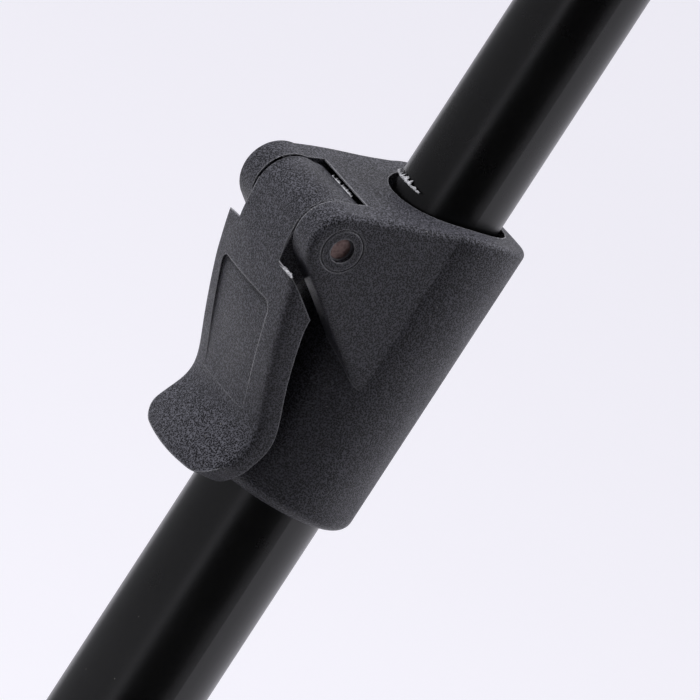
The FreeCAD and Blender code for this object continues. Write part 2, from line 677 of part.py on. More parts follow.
def rivet_hole(x, z):
    """The hole that a bracket rivet goes through."""
    return rod(DESK_RIVET_R + PRESS_GAP, V(x, -60, z), V(x, 0, z))


def desk_bracket():
    """The steel bracket behind the desk: a plate with two ears."""
    plate = rounded_plate(BRACKET_W, -BRACKET_H / 2, BRACKET_H / 2,
                          DESK_BACK_Y, -BRACKET_REACH, 6, 6)
    for way in (-1, 1):
        for side in (-1, 1):
            plate = plate.cut(rivet_hole(way * RIVET_X, side * RIVET_Z))
    inside = LUG_HALF + TILT_WASHER_T
    root_y = -BRACKET_REACH - BRACKET_T / 2
    top_root, low_root = V(0, root_y, BRACKET_EAR_ROOT), V(0, root_y, -BRACKET_EAR_ROOT)
    a, b = V(0, 0, BRACKET_EAR_R), V(0, 0, -BRACKET_EAR_R)
    side = face_of([line(low_root, b), arc(b, V(0, BRACKET_EAR_R, 0), a),
                    line(a, top_root), line(top_root, low_root)])
    ear = side.extrude(X * BRACKET_T)
    hole = rod(TILT_BOLT_R + PRESS_GAP, X * -30, X * 30)
    bracket = plate.fuse(moved(ear, X * inside)).fuse(moved(ear, X * (-inside - BRACKET_T)))
    return tilted(bracket.cut(hole))


def bracket_rivets():
    """The four rivets that join the bracket to the desk."""
    front, back = DESK_BACK_Y - DESK_T, -BRACKET_REACH
    rivets = []
    for way in (-1, 1):
        for side in (-1, 1):
            x, z = way * RIVET_X, side * RIVET_Z
            pin = rod(DESK_RIVET_R, V(x, front, z), V(x, back, z))
            for y, out in ((front, -1), (back, 1)):
                head = rod(DESK_RIVET_HEAD, V(x, y, z), V(x, y + out * 1.3, z))
                rim = edges_where(head, lambda e: abs(e.CenterOfMass.y - y - out * 1.3) < 1e-3)
                pin = pin.fuse(head.makeFillet(1.1, rim))
            rivets.append(tilted(pin))
    return Part.makeCompound(rivets)


def tilt_washers():
    """The two friction washers between the lug and the bracket's ears."""
    rings = []
    for way in (-1, 1):
        start = X * (way * (LUG_HALF + 0.02))
        end = X * (way * (LUG_HALF + TILT_WASHER_T - 0.02))
        rings.append(moved(tube(BRACKET_EAR_R, TILT_BOLT_R + SLIDE_FIT, start, end), Z * TILT_Z))
    return Part.makeCompound(rings)


KNOB_X = LUG_HALF + TILT_WASHER_T + BRACKET_T + KNOB_GAP


def tilt_bolt():
    """The round-headed bolt that the desk turns on."""
    head_x = -(LUG_HALF + TILT_WASHER_T + BRACKET_T)
    end_x = KNOB_X + KNOB_BOSS_T + KNOB_T - 3
    shank = rod(TILT_BOLT_R, X * head_x, X * end_x)
    head = rod(6.5, X * (head_x - 3.2), X * head_x)
    head = head.makeFillet(2.8, edges_where(head, lambda e: e.BoundBox.XMax < head_x - 3))
    return tilted(shank.fuse(head))


def knob_outline(radius, dip, lobes):
    """A closed wavy outline with that many lobes, in the YZ plane."""
    steps = lobes * 8
    points = []
    for i in range(steps):
        a = 2 * math.pi * i / steps
        r = radius - dip * (0.5 - 0.5 * math.cos(lobes * a)) ** 1.5
        points.append(V(0, r * math.cos(a), r * math.sin(a)))
    curve = Part.BSplineCurve()
    curve.interpolate(points, PeriodicFlag=True)
    return Part.Face(Part.Wire([curve.toShape()]))


def tilt_knob():
    """The five-lobed knob that clamps the tilt."""
    boss = rod(KNOB_BOSS_R, X * KNOB_X, X * (KNOB_X + KNOB_BOSS_T + 1))
    grip = knob_outline(KNOB_R, 4.2, KNOB_LOBES).extrude(X * KNOB_T)
    grip = moved(grip, X * (KNOB_X + KNOB_BOSS_T))
    grip = grip.makeFillet(2.0, edges_where(grip, lambda e: e.BoundBox.XLength < 1e-3))
    knob = boss.fuse(grip).cut(rod(KNOB_INSERT_R + PRESS_GAP, X * (KNOB_X - 1), X * KNOB_INSERT_END))
    return tilted(knob)


KNOB_INSERT_R = 5.0
KNOB_INSERT_END = KNOB_X + KNOB_BOSS_T + KNOB_T - 2


def knob_insert():
    """The threaded brass insert in the knob."""
    return tilted(tube(KNOB_INSERT_R, TILT_BOLT_R + SLIDE_FIT, X * KNOB_X, X * (KNOB_INSERT_END - 0.5)))


# ---------------------------------------------------------------- the list of pieces

def pieces():
    """Every node by name, in the row frame."""
    made = {
        "clutch_housing": in_row(clutch_housing().cut(grub_hole())),
        "clutch_lever": in_row(clutch_lever()),
        "lever_pin": in_row(lever_pin()),
        "clamp_shoe": in_row(clamp_shoe()),
        "shoe_liner": in_row(shoe_liner()),
        "neck_bush": in_row(neck_bush()),
        "housing_grub_screw": in_row(housing_grub_screw()),
        "outer_tube": outer_tube(),
        "inner_tube": inner_tube(),
        "glide_bush": glide_bush(),
        "leg_hub": leg_hub(),
        "tube_plug": tube_plug(),
        "base_washer": base_washer(),
        "base_screw": base_screw(),
        "tilt_head": tilt_head(),
        "head_rivet": head_rivet(),
        "tilt_washers": tilt_washers(),
        "tilt_bolt": tilt_bolt(),
        "tilt_knob": tilt_knob(),
        "knob_insert": knob_insert(),
        "desk_bracket": desk_bracket(),
        "bracket_rivets": bracket_rivets(),
        "desk_plate": desk_plate(),
    }
    for i in range(len(LEG_ANGLES)):
        made[f"leg_pin_{i + 1}"] = leg_pin(i)
        made[f"leg_tang_{i + 1}"] = leg_tang(i)
        made[f"leg_tube_{i + 1}"] = leg_tube(i)
        made[f"foot_cap_{i + 1}"] = foot_cap(i)
    return made


def main():
    """Writes one STEP file for each node."""
    os.makedirs("parts", exist_ok=True)
    for name, shape in pieces().items():
        solids = shape.Solids
        print(f"{name}: {len(solids)} solids, {shape.Volume:.1f} mm3, valid {shape.isValid()}")
        shape.exportStep(f"parts/{name}.step")


main()
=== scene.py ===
"""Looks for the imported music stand: its finishes, the moulded lever that the CAD only blocks
out, the flash on its parting lines, and a pale studio. The sizes of the lever, the flash and
the finishes are in millimetres, and MM turns them into the frame's metres. The studio's sizes
are in metres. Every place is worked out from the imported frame."""
import json
import logging
import math
import random
from dataclasses import dataclass
from enum import Enum
from typing import Callable, Sequence

import bmesh
import bpy
from mathutils import Matrix, Vector


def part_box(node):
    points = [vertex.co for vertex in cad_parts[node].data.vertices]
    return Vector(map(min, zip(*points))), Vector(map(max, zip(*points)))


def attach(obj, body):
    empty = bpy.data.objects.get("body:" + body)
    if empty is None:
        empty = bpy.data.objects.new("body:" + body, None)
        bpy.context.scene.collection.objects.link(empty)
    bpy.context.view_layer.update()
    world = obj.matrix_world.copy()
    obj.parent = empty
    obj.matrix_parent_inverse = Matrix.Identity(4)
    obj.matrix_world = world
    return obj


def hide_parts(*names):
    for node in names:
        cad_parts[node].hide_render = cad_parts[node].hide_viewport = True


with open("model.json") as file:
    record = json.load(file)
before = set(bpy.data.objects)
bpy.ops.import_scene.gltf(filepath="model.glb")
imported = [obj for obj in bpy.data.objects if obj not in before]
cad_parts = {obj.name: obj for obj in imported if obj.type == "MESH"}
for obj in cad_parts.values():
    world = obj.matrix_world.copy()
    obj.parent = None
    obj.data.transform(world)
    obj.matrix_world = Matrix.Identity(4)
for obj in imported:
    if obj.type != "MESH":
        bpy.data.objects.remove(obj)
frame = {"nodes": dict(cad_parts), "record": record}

logging.basicConfig(level=logging.INFO, format="%(name)s: %(message)s")
log = logging.getLogger("music_stand")

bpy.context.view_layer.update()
MM = 0.001
JOINTS = {joint["name"]: joint for joint in frame["record"]["behaviour"]["joints"]}
NEAR = 0.02 * MM  # how close a vertex lies to the place where it was put

Socket = bpy.types.NodeSocket
Tree = bpy.types.NodeTree


# ------------------------------------------------------------------ modelling helpers


class Part(Enum):
    """The kind of mesh element that a selection looks at."""

    VERTS = "VERT"
    EDGES = "EDGE"
    FACES = "FACE"


def only(*objects: bpy.types.Object) -> None:
    """Selects just these objects, the last of them active."""
    if bpy.context.object and bpy.context.object.mode != "OBJECT":
        bpy.ops.object.mode_set(mode="OBJECT")
    bpy.ops.object.select_all(action="DESELECT")
    for item in objects:
        item.select_set(True)
        bpy.context.view_layer.objects.active = item


def fresh(name: str) -> bpy.types.Object:
    """Names the primitive that was just added and puts its place into its mesh."""
    piece = bpy.context.object
    piece.name = piece.data.name = name
    bpy.ops.object.transform_apply(location=True, rotation=True, scale=True)
    return piece


def pick(piece: bpy.types.Object, part: Part,
         test: Callable[[Vector, Vector], bool]) -> int:
    """Selects mesh elements in edit mode by their place and normal.

    Args:
        piece: The object, which is in edit mode.
        part: Which kind of element to look at.
        test: Says from an element's centre and normal whether to pick it.

    Returns:
        How many elements were picked.
    """
    bpy.ops.mesh.select_mode(type=part.value)
    bpy.ops.mesh.select_all(action="DESELECT")
    bm = bmesh.from_edit_mesh(piece.data)
    count = 0
    if part is Part.FACES:
        for face in bm.faces:
            face.select_set(test(face.calc_center_median(), face.normal))
            count += face.select
    elif part is Part.EDGES:
        for edge in bm.edges:
            middle = (edge.verts[0].co + edge.verts[1].co) / 2
            along = (edge.verts[1].co - edge.verts[0].co).normalized()
            edge.select_set(test(middle, along))
            count += edge.select
    else:
        for vert in bm.verts:
            vert.select_set(test(vert.co, vert.normal))
            count += vert.select
        bm.select_flush_mode()
    bmesh.update_edit_mesh(piece.data)
    return count


def edit(piece: bpy.types.Object) -> None:
    """Opens one object in edit mode."""
    only(piece)
    bpy.ops.object.mode_set(mode="EDIT")


def done() -> None:
    """Leaves edit mode."""
    bpy.ops.object.mode_set(mode="OBJECT")


def cut_at(levels: Sequence[float], normal: Vector) -> None:
    """Cuts the whole mesh, which is in edit mode, by parallel planes at these distances."""
    for level in levels:
        bpy.ops.mesh.select_all(action="SELECT")
        bpy.ops.mesh.bisect(plane_co=normal * level, plane_no=normal)


def settle(piece: bpy.types.Object, kind: str, **settings: object) -> None:
    """Adds a modifier to a piece and applies it.

    Args:
        piece: The object to change.
        kind: Blender's name for the modifier type.
        settings: The modifier's own settings.
    """
    modifier = piece.modifiers.new(kind.title(), kind)
    for key, value in settings.items():
        setattr(modifier, key, value)
    only(piece)
    bpy.ops.object.modifier_apply(modifier=modifier.name)


def combine(piece: bpy.types.Object, other: bpy.types.Object, operation: str) -> None:
    """Joins or cuts one piece with another, which is then removed."""
    settle(piece, "BOOLEAN", object=other, operation=operation, solver="EXACT")
    bpy.data.objects.remove(other)


def smooth(piece: bpy.types.Object, degrees: float) -> None:
    """Shades a piece smooth, except over edges sharper than an angle."""
    only(piece)
    bpy.ops.object.shade_smooth_by_angle(angle=math.radians(degrees))


# ------------------------------------------------------------------ finishes


def linear(code: str) -> tuple[float, float, float, float]:
    """Turns an sRGB hex colour into linear values."""
    parts = [int(code[i:i + 2], 16) / 255 for i in (1, 3, 5)]
    red, green, blue = (p / 12.92 if p <= 0.04045 else ((p + 0.055) / 1.055) ** 2.4 for p in parts)
    return red, green, blue, 1.0


def add(tree: Tree, kind: str, values: dict | None = None, links: dict | None = None,
        **settings: object) -> bpy.types.Node:
    """Adds one shader node.

    Args:
        tree: The node tree.
        kind: The node's type, without its ShaderNode prefix.
        values: Input socket name or number to value.
        links: Input socket name or number to the output socket that feeds it.
        settings: Attributes of the node itself.

    Returns:
        The new node.
    """
    node = tree.nodes.new("ShaderNode" + kind)
    for key, value in settings.items():
        setattr(node, key, value)
    for key, value in (values or {}).items():
        node.inputs[key].default_value = value
    for key, source in (links or {}).items():
        tree.links.new(source, node.inputs[key])
    return node


@dataclass(frozen=True)
class Finish:
    """What every finish shares: a base colour, a paler edge colour that shows rubbed wear and on the moulded
    nylon also a painted edge highlight, a mottle, a grain and soft edges.

    The grain and mottle sizes are real sizes in millimetres.
    """

    name: str
    base: str
    light: str
    roughness: float
    roughness_swing: float = 0.08
    metallic: float = 0.0
    ior: float = 1.5
    mottle_mm: float = 9.0
    mottle_share: float = 0.35
    grain_mm: float = 0.25
    grain_depth_mm: float = 0.02
    grain_contrast: float = 0.25
    edge_mm: float = 0.35
    edge_share: float = 0.3
    # The paler colour along edges: rubbed wear, and where edge_share is strong, as on the moulded nylon, a
    # painted edge highlight.
    wear_and_highlight: str = "#8c8c92"
    dust_share: float = 0.0
    dust: str = "#b9b4ae"
    brushed_along_z: float = 1.0
    specular: float = 0.5
    glow: float = 0.0

    def build(self) -> bpy.types.Material:
        """Builds the material.

        Returns:
            The finished material.
        """
        material = bpy.data.materials.new(self.name)
        material.use_nodes = True
        tree = material.node_tree
        tree.nodes.clear()
        place = add(tree, "Mapping", {"Scale": (1 / MM, 1 / MM, self.brushed_along_z / MM)},
                    {"Vector": add(tree, "TexCoord").outputs["Object"]}).outputs["Vector"]
        grain = self.grain(tree, place)
        edges = self.edges(tree)
        colour = self.colour(tree, place, grain, edges)
        rough = self.rough(tree, place, edges)
        relief = add(tree, "Bump", {"Strength": 1.0, "Distance": self.grain_depth_mm * MM},
                     {"Height": grain,
                      "Normal": add(tree, "Bevel", {"Radius": self.edge_mm * MM},
                                    samples=4).outputs["Normal"]}).outputs["Normal"]
        shader = add(tree, "BsdfPrincipled",
                     {"Metallic": self.metallic, "Specular IOR Level": self.specular},
                     {"Base Color": colour, "Roughness": rough, "Normal": relief})
        if not self.metallic:
            shader.inputs["IOR"].default_value = self.ior
        if self.glow:
            shader.inputs["Emission Color"].default_value = linear(self.light)
            shader.inputs["Emission Strength"].default_value = self.glow
        add(tree, "OutputMaterial", links={"Surface": shader.outputs["BSDF"]})
        return material

    def grain(self, tree: Tree, place: Socket) -> Socket:
        """The fine height pattern, from 0 to 1."""
        per_mm = 1 / self.grain_mm
        coarse = add(tree, "TexNoise", {"Scale": per_mm, "Detail": 3.0, "Roughness": 0.62},
                     {"Vector": place}).outputs["Fac"]
        pits = add(tree, "TexVoronoi", {"Scale": per_mm * 0.8}, {"Vector": place}).outputs["Distance"]
        return add(tree, "Math", links={0: coarse, 1: pits}, operation="ADD").outputs[0]

    def edges(self, tree: Tree) -> Socket:
        """How near an outer edge is, from 0 to 1."""
        soft = add(tree, "Bevel", {"Radius": self.edge_mm * 1.4 * MM}, samples=4).outputs["Normal"]
        true = add(tree, "NewGeometry").outputs["True Normal"]
        turn = add(tree, "VectorMath", links={0: soft, 1: true}, operation="DOT_PRODUCT").outputs["Value"]
        return add(tree, "MapRange", {"From Min": 0.985, "From Max": 0.80, "To Min": 0.0,
                                      "To Max": 1.0}, {"Value": turn}).outputs["Result"]

    def colour(self, tree: Tree, place: Socket, grain: Socket, edges: Socket) -> Socket:
        """The base colour with its mottle, grain, dust and paler edges, which are rubbed wear and, on the
        moulded nylon, also a painted edge highlight.
        """
        broad = add(tree, "TexNoise", {"Scale": 1 / self.mottle_mm, "Detail": 5.0},
                    {"Vector": place}).outputs["Fac"]
        broad = add(tree, "MapRange", {"From Min": 0.35, "From Max": 0.7, "To Min": 0.0,
                                       "To Max": self.mottle_share}, {"Value": broad}).outputs["Result"]
        fine = add(tree, "MapRange", {"From Min": 0.8, "From Max": 1.25, "To Min": 0.0,
                                      "To Max": self.grain_contrast}, {"Value": grain}).outputs["Result"]
        # Paler edges: rubbed wear, and on the moulded nylon also a painted edge highlight.
        wear_and_highlight = add(tree, "TexNoise", {"Scale": 0.9, "Detail": 4.0}, {"Vector": place}).outputs["Fac"]
        wear_and_highlight = add(tree, "Math", {1: self.edge_share * 2}, {0: wear_and_highlight}, operation="MULTIPLY").outputs[0]
        wear_and_highlight = add(tree, "Math", links={0: wear_and_highlight, 1: edges}, operation="MULTIPLY",
                   use_clamp=True).outputs[0]
        share = add(tree, "Math", links={0: broad, 1: fine}, operation="ADD",
                    use_clamp=True).outputs[0]
        colour = add(tree, "Mix", {"A": linear(self.base), "B": linear(self.light)},
                     {"Factor": share}, data_type="RGBA").outputs["Result"]
        colour = add(tree, "Mix", {"B": linear(self.wear_and_highlight)}, {"Factor": wear_and_highlight, "A": colour},
                     data_type="RGBA").outputs["Result"]
        if self.dust_share:
            colour = self.dusted(tree, place, colour)
        return colour

    def dusted(self, tree: Tree, place: Socket, colour: Socket) -> Socket:
        """The colour with sparse specks of dust, about a tenth of a millimetre wide."""
        cells = add(tree, "TexVoronoi", {"Scale": 1.1, "Randomness": 1.0}, {"Vector": place})
        near = add(tree, "Math", {1: 0.075}, {0: cells.outputs["Distance"]},
                   operation="LESS_THAN").outputs[0]
        chosen = add(tree, "SeparateColor", links={0: cells.outputs["Color"]}).outputs[0]
        chosen = add(tree, "Math", {1: self.dust_share}, {0: chosen}, operation="LESS_THAN").outputs[0]
        specks = add(tree, "Math", links={0: near, 1: chosen}, operation="MULTIPLY").outputs[0]
        specks = add(tree, "Math", {1: 0.5}, {0: specks}, operation="MULTIPLY").outputs[0]
        return add(tree, "Mix", {"B": linear(self.dust)}, {"Factor": specks, "A": colour},
                   data_type="RGBA").outputs["Result"]

    def rough(self, tree: Tree, place: Socket, edges: Socket) -> Socket:
        """The roughness, which drifts over the surface and drops where edges are rubbed."""
        drift = add(tree, "TexNoise", {"Scale": 1.6 / self.mottle_mm, "Detail": 6.0, "Roughness": 0.6},
                    {"Vector": place}).outputs["Fac"]
        low, high = self.roughness - self.roughness_swing, self.roughness + self.roughness_swing
        drift = add(tree, "MapRange", {"From Min": 0.3, "From Max": 0.7, "To Min": low, "To Max": high},
                    {"Value": drift}).outputs["Result"]
        rub = add(tree, "Math", {1: -0.12 * self.edge_share * 3}, {0: edges}, operation="MULTIPLY").outputs[0]
        return add(tree, "Math", links={0: drift, 1: rub}, operation="ADD", use_clamp=True).outputs[0]


# Glass-filled nylon, injection moulded in a spark-eroded tool: a dull charcoal with a fine sparkle of grain.
# Its edges are painted paler, partly as rubbed wear and partly as a painted edge highlight. The real grain is
# about 0.15 mm, too fine to show, so it is drawn at 0.2 mm.
MOULDED_NYLON = Finish("glass_filled_nylon", "#040405", "#5e5e66", 0.48, grain_mm=0.2,
                       grain_depth_mm=0.08, grain_contrast=0.9, edge_mm=0.26, edge_share=1.6,
                       wear_and_highlight="#a2a2a8", mottle_mm=9.0, mottle_share=0.04, dust_share=0.2,
                       specular=0.3)
# The same nylon where it was torn or stretched thin, which turns it pale.
TORN_NYLON = Finish("stress_whitened_nylon", "#85858b", "#d4d4da", 0.5, grain_mm=0.28,
                    grain_depth_mm=0.05, grain_contrast=0.9, edge_share=0.6, specular=0.35)
# The same nylon in the smoother cavity that makes the head and the knob.
KNOB_NYLON = Finish("moulded_nylon_satin", "#0c0c0d", "#36373b", 0.46, grain_mm=0.3,
                    grain_depth_mm=0.015, edge_mm=0.3, edge_share=0.35, dust_share=0.02)
# Polyester powder coat on drawn steel tube: almost black, satin, with a faint orange peel.
POWDER_COAT = Finish("satin_powder_coat", "#020202", "#0b0b0b", 0.29, roughness_swing=0.03,
                     grain_mm=1.3, grain_depth_mm=0.004, grain_contrast=0.2, edge_mm=0.2,
                     edge_share=0.12, mottle_mm=25.0, mottle_share=0.1, dust_share=0.05)
# Powder coat, matt and slightly textured, on the sheet-steel desk.
DESK_COAT = Finish("matt_textured_powder_coat", "#0f0f10", "#2b2b2e", 0.5, grain_mm=0.7,
                   grain_depth_mm=0.02, grain_contrast=0.3, edge_mm=0.4, edge_share=0.3,
                   mottle_mm=40.0, mottle_share=0.15, dust_share=0.03)
# Powder coat on a pressure die casting: the skin of the casting shows through as a ripple.
CAST_COAT = Finish("coated_die_casting", "#111112", "#333436", 0.42, grain_mm=2.2,
                   grain_depth_mm=0.03, grain_contrast=0.2, edge_mm=0.5, edge_share=0.3,
                   mottle_mm=14.0, mottle_share=0.2, dust_share=0.02)
# Bright zinc plating with fine turning lines and a bluish bloom.
ZINC_PLATE = Finish("bright_zinc_plate", "#9ea2a6", "#d2d4d6", 0.3, metallic=1.0, grain_mm=0.35,
                    grain_depth_mm=0.004, edge_mm=0.2, mottle_mm=3.0, mottle_share=0.5,
                    brushed_along_z=6.0)
# A coppered steel pin, dulled brown, with the marks of the cropping tool on its ends.
COPPERED_PIN = Finish("dull_coppered_steel", "#6a5350", "#a58d88", 0.55, metallic=0.5, grain_mm=0.4,
                      grain_depth_mm=0.03, grain_contrast=0.5, edge_mm=0.15, mottle_mm=1.2,
                      mottle_share=0.5)
# Moulded rubber with a bloom of wax and scuffs where it meets the floor.
RUBBER = Finish("black_moulded_rubber", "#121212", "#3d3b39", 0.78, grain_mm=0.5,
                grain_depth_mm=0.03, edge_mm=0.5, edge_share=0.5, mottle_mm=6.0,
                mottle_share=0.3, dust_share=0.08)
# Natural acetal: a milky, slightly waxy off-white that the bushes slide on.
ACETAL = Finish("natural_acetal", "#d6d2c6", "#efece3", 0.36, ior=1.48, grain_mm=0.8,
                grain_depth_mm=0.01, grain_contrast=0.3, mottle_mm=5.0, edge_share=0.2)
# Free-cutting brass with turning marks.
BRASS = Finish("turned_brass", "#a4803c", "#d9bd78", 0.28, metallic=1.0, grain_mm=0.25,
               grain_depth_mm=0.006, mottle_mm=2.0, mottle_share=0.4, brushed_along_z=4.0)
# A seamless studio floor of pale painted board.
FLOOR_PAINT = Finish("pale_studio_floor", "#e9e8ee", "#f1f0f5", 0.9, roughness_swing=0.03,
                     grain_mm=3.0, grain_depth_mm=0.01, grain_contrast=0.05, mottle_mm=900.0,
                     mottle_share=0.3, edge_share=0.0, glow=0.27)

# Thin grey cloth that holds back most of the light behind it.
FLAG_CLOTH = Finish("grey_flag_cloth", "#2e2e30", "#8a8a8e", 0.9, grain_mm=1.0, glow=0.9)

NODE_FINISHES: dict[Finish, tuple[str, ...]] = {
    MOULDED_NYLON: ("clutch_housing", "clutch_lever"),
    KNOB_NYLON: ("tilt_head", "tilt_knob", "neck_bush", "clamp_shoe"),
    POWDER_COAT: ("outer_tube", "inner_tube", "leg_tube_1", "leg_tube_2", "leg_tube_3"),
    DESK_COAT: ("desk_plate",),
    CAST_COAT: ("leg_hub", "leg_tang_1", "leg_tang_2", "leg_tang_3", "desk_bracket"),
    ZINC_PLATE: ("tube_plug", "base_washer", "base_screw", "housing_grub_screw", "head_rivet",
                 "bracket_rivets", "tilt_bolt", "leg_pin_1", "leg_pin_2", "leg_pin_3"),
    COPPERED_PIN: ("lever_pin",),
    RUBBER: ("foot_cap_1", "foot_cap_2", "foot_cap_3", "shoe_liner"),
    ACETAL: ("glide_bush", "tilt_washers"),
    BRASS: ("knob_insert",),
}


class Wardrobe:
    """Builds each finish once and dresses pieces in it."""

    def __init__(self) -> None:
        """Starts with nothing built."""
        self.made: dict[str, bpy.types.Material] = {}

    def get(self, finish: Finish) -> bpy.types.Material:
        """The material of a finish."""
        if finish.name not in self.made:
            self.made[finish.name] = finish.build()
        return self.made[finish.name]

    def dress(self, piece: bpy.types.Object, finish: Finish) -> None:
        """Gives a piece its only material."""
        if not piece.data.materials:
            piece.data.materials.append(self.get(finish))
        for place in piece.material_slots:
            place.material = self.get(finish)

    def dress_cad(self) -> None:
        """Gives every CAD node its finish."""
        for finish, names in NODE_FINISHES.items():
            for name in names:
                self.dress(frame["nodes"][name], finish)


# ------------------------------------------------------------------ clutch lever


@dataclass
class ClutchLever:
    """The moulded lever: a crowned blade with a sunk panel, a neck, and a knuckle with a cam.

    Sizes are in millimetres and levels are heights from the pin. Each row of the blade is its
    level, its half width, its front at the middle and at the side, and its back, all measured
    from the pin. Each span of the neck is its level, its front and its back.
    """

    wardrobe: Wardrobe
    rows: tuple[tuple[float, float, float, float, float], ...] = (
        (1.0, 11.9, -4.8, -4.4, 2.2),
        (-2.5, 11.9, -5.3, -4.5, 2.2),
        (-6.5, 11.9, -4.8, -3.7, 2.1),
        (-11.9, 11.8, -3.2, -1.9, 2.1),
        (-13.7, 11.75, -2.6, -1.3, 2.6),
        (-18.7, 11.6, -0.5, 0.8, 4.2),
        (-23.2, 11.35, 1.6, 2.8, 6.2),
        (-26.2, 11.3, 3.1, 4.4, 7.7),
        (-29.0, 11.3, 4.1, 5.5, 8.7),
        (-31.4, 11.4, 3.9, 5.4, 8.5),
        (-33.6, 11.5, 2.8, 4.4, 7.5),
        (-36.0, 11.6, 1.7, 3.2, 6.5),
        (-38.4, 11.6, 1.2, 2.5, 5.8),
        (-41.5, 11.6, 1.3, 2.5, 5.4),
    )
    columns: tuple[float, ...] = (-1.0, -0.86, -0.65, -0.33, 0.0, 0.33, 0.65, 0.86, 1.0)
    front_power: float = 2.2
    rim_crease: float = 0.75
    lip_level: float = -38.1
    lip_half: float = 11.6
    lip_bow: float = 1.0
    lip_corner: float = 4.6
    panel_levels: tuple[float, float] = (-12.0, -27.8)
    panel_halves: tuple[float, float] = (8.1, 6.6)
    panel_corner: float = 1.6
    panel_depth: float = 0.5
    panel_end_depth: float = 0.03
    wall: float = 2.2
    hollow_levels: tuple[float, float] = (-27.0, -6.5)
    hollow_half: float = 9.831
    hollow_inset: float = 0.1
    knuckle_radius: float = 5.3
    knuckle_half: float = 6.85
    knuckle_edge: float = 0.45
    neck_spans: tuple[tuple[float, float, float], ...] = (
        (0.0, -5.3, 5.3), (-4.0, -4.9, 3.6), (-9.0, -3.0, -1.0))
    cam_throw: float = 1.7
    shoulder: float = 7.6
    shoulder_slope: float = 36.0
    pin_hole: float = 1.65
    clearance: float = 0.45

    def __post_init__(self) -> None:
        """Finds the pin in the frame."""
        self.pin = Vector(JOINTS["lever_hinge"]["pos_m"])

    def at(self, x: float, y: float, z: float) -> Vector:
        """A point given in millimetres from the pin."""
        return self.pin + Vector((x, y, z)) * MM

    def front(self, row: tuple[float, ...], share: float) -> float:
        """The front of the blade at a row, a share of the half width from its middle."""
        return row[2] + (row[3] - row[2]) * abs(share) ** self.front_power

    def blade(self, cored: bool) -> bpy.types.Object:
        """The blade, shaped from a block row by row.

        Args:
            cored: Whether its back is cored out.

        Returns:
            The blade as a closed mesh, smoothed.
        """
        top, bottom = self.rows[0][0], self.rows[-1][0]
        bpy.ops.mesh.primitive_cube_add(size=MM, location=self.at(0, 0, (top + bottom) / 2),
                                        scale=(2.0, 1.0, top - bottom))
        piece = fresh("clutch_lever_shell")
        edit(piece)
        cut_at([self.pin.z + row[0] * MM for row in self.rows[1:-1]], Vector((0, 0, 1)))
        cut_at([share * MM for share in self.columns[1:-1]], Vector((1, 0, 0)))
        for row in self.rows:
            z = self.pin.z + row[0] * MM
            for share in self.columns:
                self.shift(piece, share, z, -1, self.front(row, share))
                self.shift(piece, share, z, 1, row[4])
            pick(piece, Part.VERTS, lambda co, _: abs(co.z - z) < NEAR)
            bpy.ops.transform.resize(value=(row[1], 1, 1), center_override=self.pin)
        if cored:
            self.hollow_back(piece)
        self.crease_rim(piece)
        done()
        settle(piece, "SUBSURF", levels=3, render_levels=3)
        return piece

    def shift(self, piece: bpy.types.Object, share: float, z: float, side: int,
              y: float) -> None:
        """Moves the vertex of one row and column to its depth.

        Args:
            piece: The blade, still a flat block one millimetre thick.
            share: The column, as a share of the half width.
            z: The row's height.
            side: -1 for the front, 1 for the back.
            y: The depth, in millimetres behind the pin.
        """
        old = self.pin.y + side * 0.5 * MM
        pick(piece, Part.VERTS, lambda co, _: abs(co.z - z) < NEAR
             and abs(co.x - share * MM) < NEAR and abs(co.y - old) < NEAR)
        bpy.ops.transform.translate(value=(0, self.pin.y + y * MM - old, 0))

    def crease_rim(self, piece: bpy.types.Object) -> None:
        """Keeps the back rim of the blade fairly crisp."""
        pick(piece, Part.FACES, lambda co, n: n.y > 0.6)
        bpy.ops.mesh.region_to_loop()
        bpy.ops.transform.edge_crease(value=self.rim_crease)

    def trim_lip(self, piece: bpy.types.Object) -> None:
        """Cuts the lower end of the paddle to a bowed line with two round corners."""
        half, top = self.lip_half, self.knuckle_radius + 0.7
        bpy.ops.mesh.primitive_cube_add(size=MM, location=self.at(0, 0, (top + self.lip_level) / 2),
                                        scale=(2 * half, 40.0, top - self.lip_level))
        outline = fresh("lip_outline")
        edit(outline)
        low = self.pin.z + self.lip_level * MM
        pick(outline, Part.EDGES, lambda co, way: abs(way.y) > 0.9 and co.z < low + NEAR)
        bpy.ops.mesh.bevel(offset=self.lip_corner * MM, segments=10)
        cut_at([share * half * MM for share in (-0.5, -0.3, -0.1, 0.1, 0.3, 0.5)], Vector((1, 0, 0)))
        bm = bmesh.from_edit_mesh(outline.data)
        for x in sorted({round(v.co.x, 7) for v in bm.verts if abs(v.co.x) < half * MM - NEAR}):
            drop = self.lip_bow * math.cos(x / MM / half * math.pi / 2)
            pick(outline, Part.VERTS, lambda co, _: abs(co.x - x) < NEAR / 4 and co.z < self.pin.z)
            bpy.ops.transform.translate(value=(0, 0, -drop * MM))
        pick(outline, Part.VERTS, lambda co, _: co.z > self.pin.z)
        bpy.ops.transform.resize(value=(1.2, 1, 1), center_override=self.pin)
        done()
        combine(piece, outline, "INTERSECT")

    def surface(self, level: float) -> float:
        """The front of the blade at its middle, at any level."""
        for above, below in zip(self.rows, self.rows[1:]):
            if below[0] <= level:
                share = (above[0] - level) / (above[0] - below[0])
                return above[2] * (1 - share) + below[2] * share
        return self.rows[-1][2]

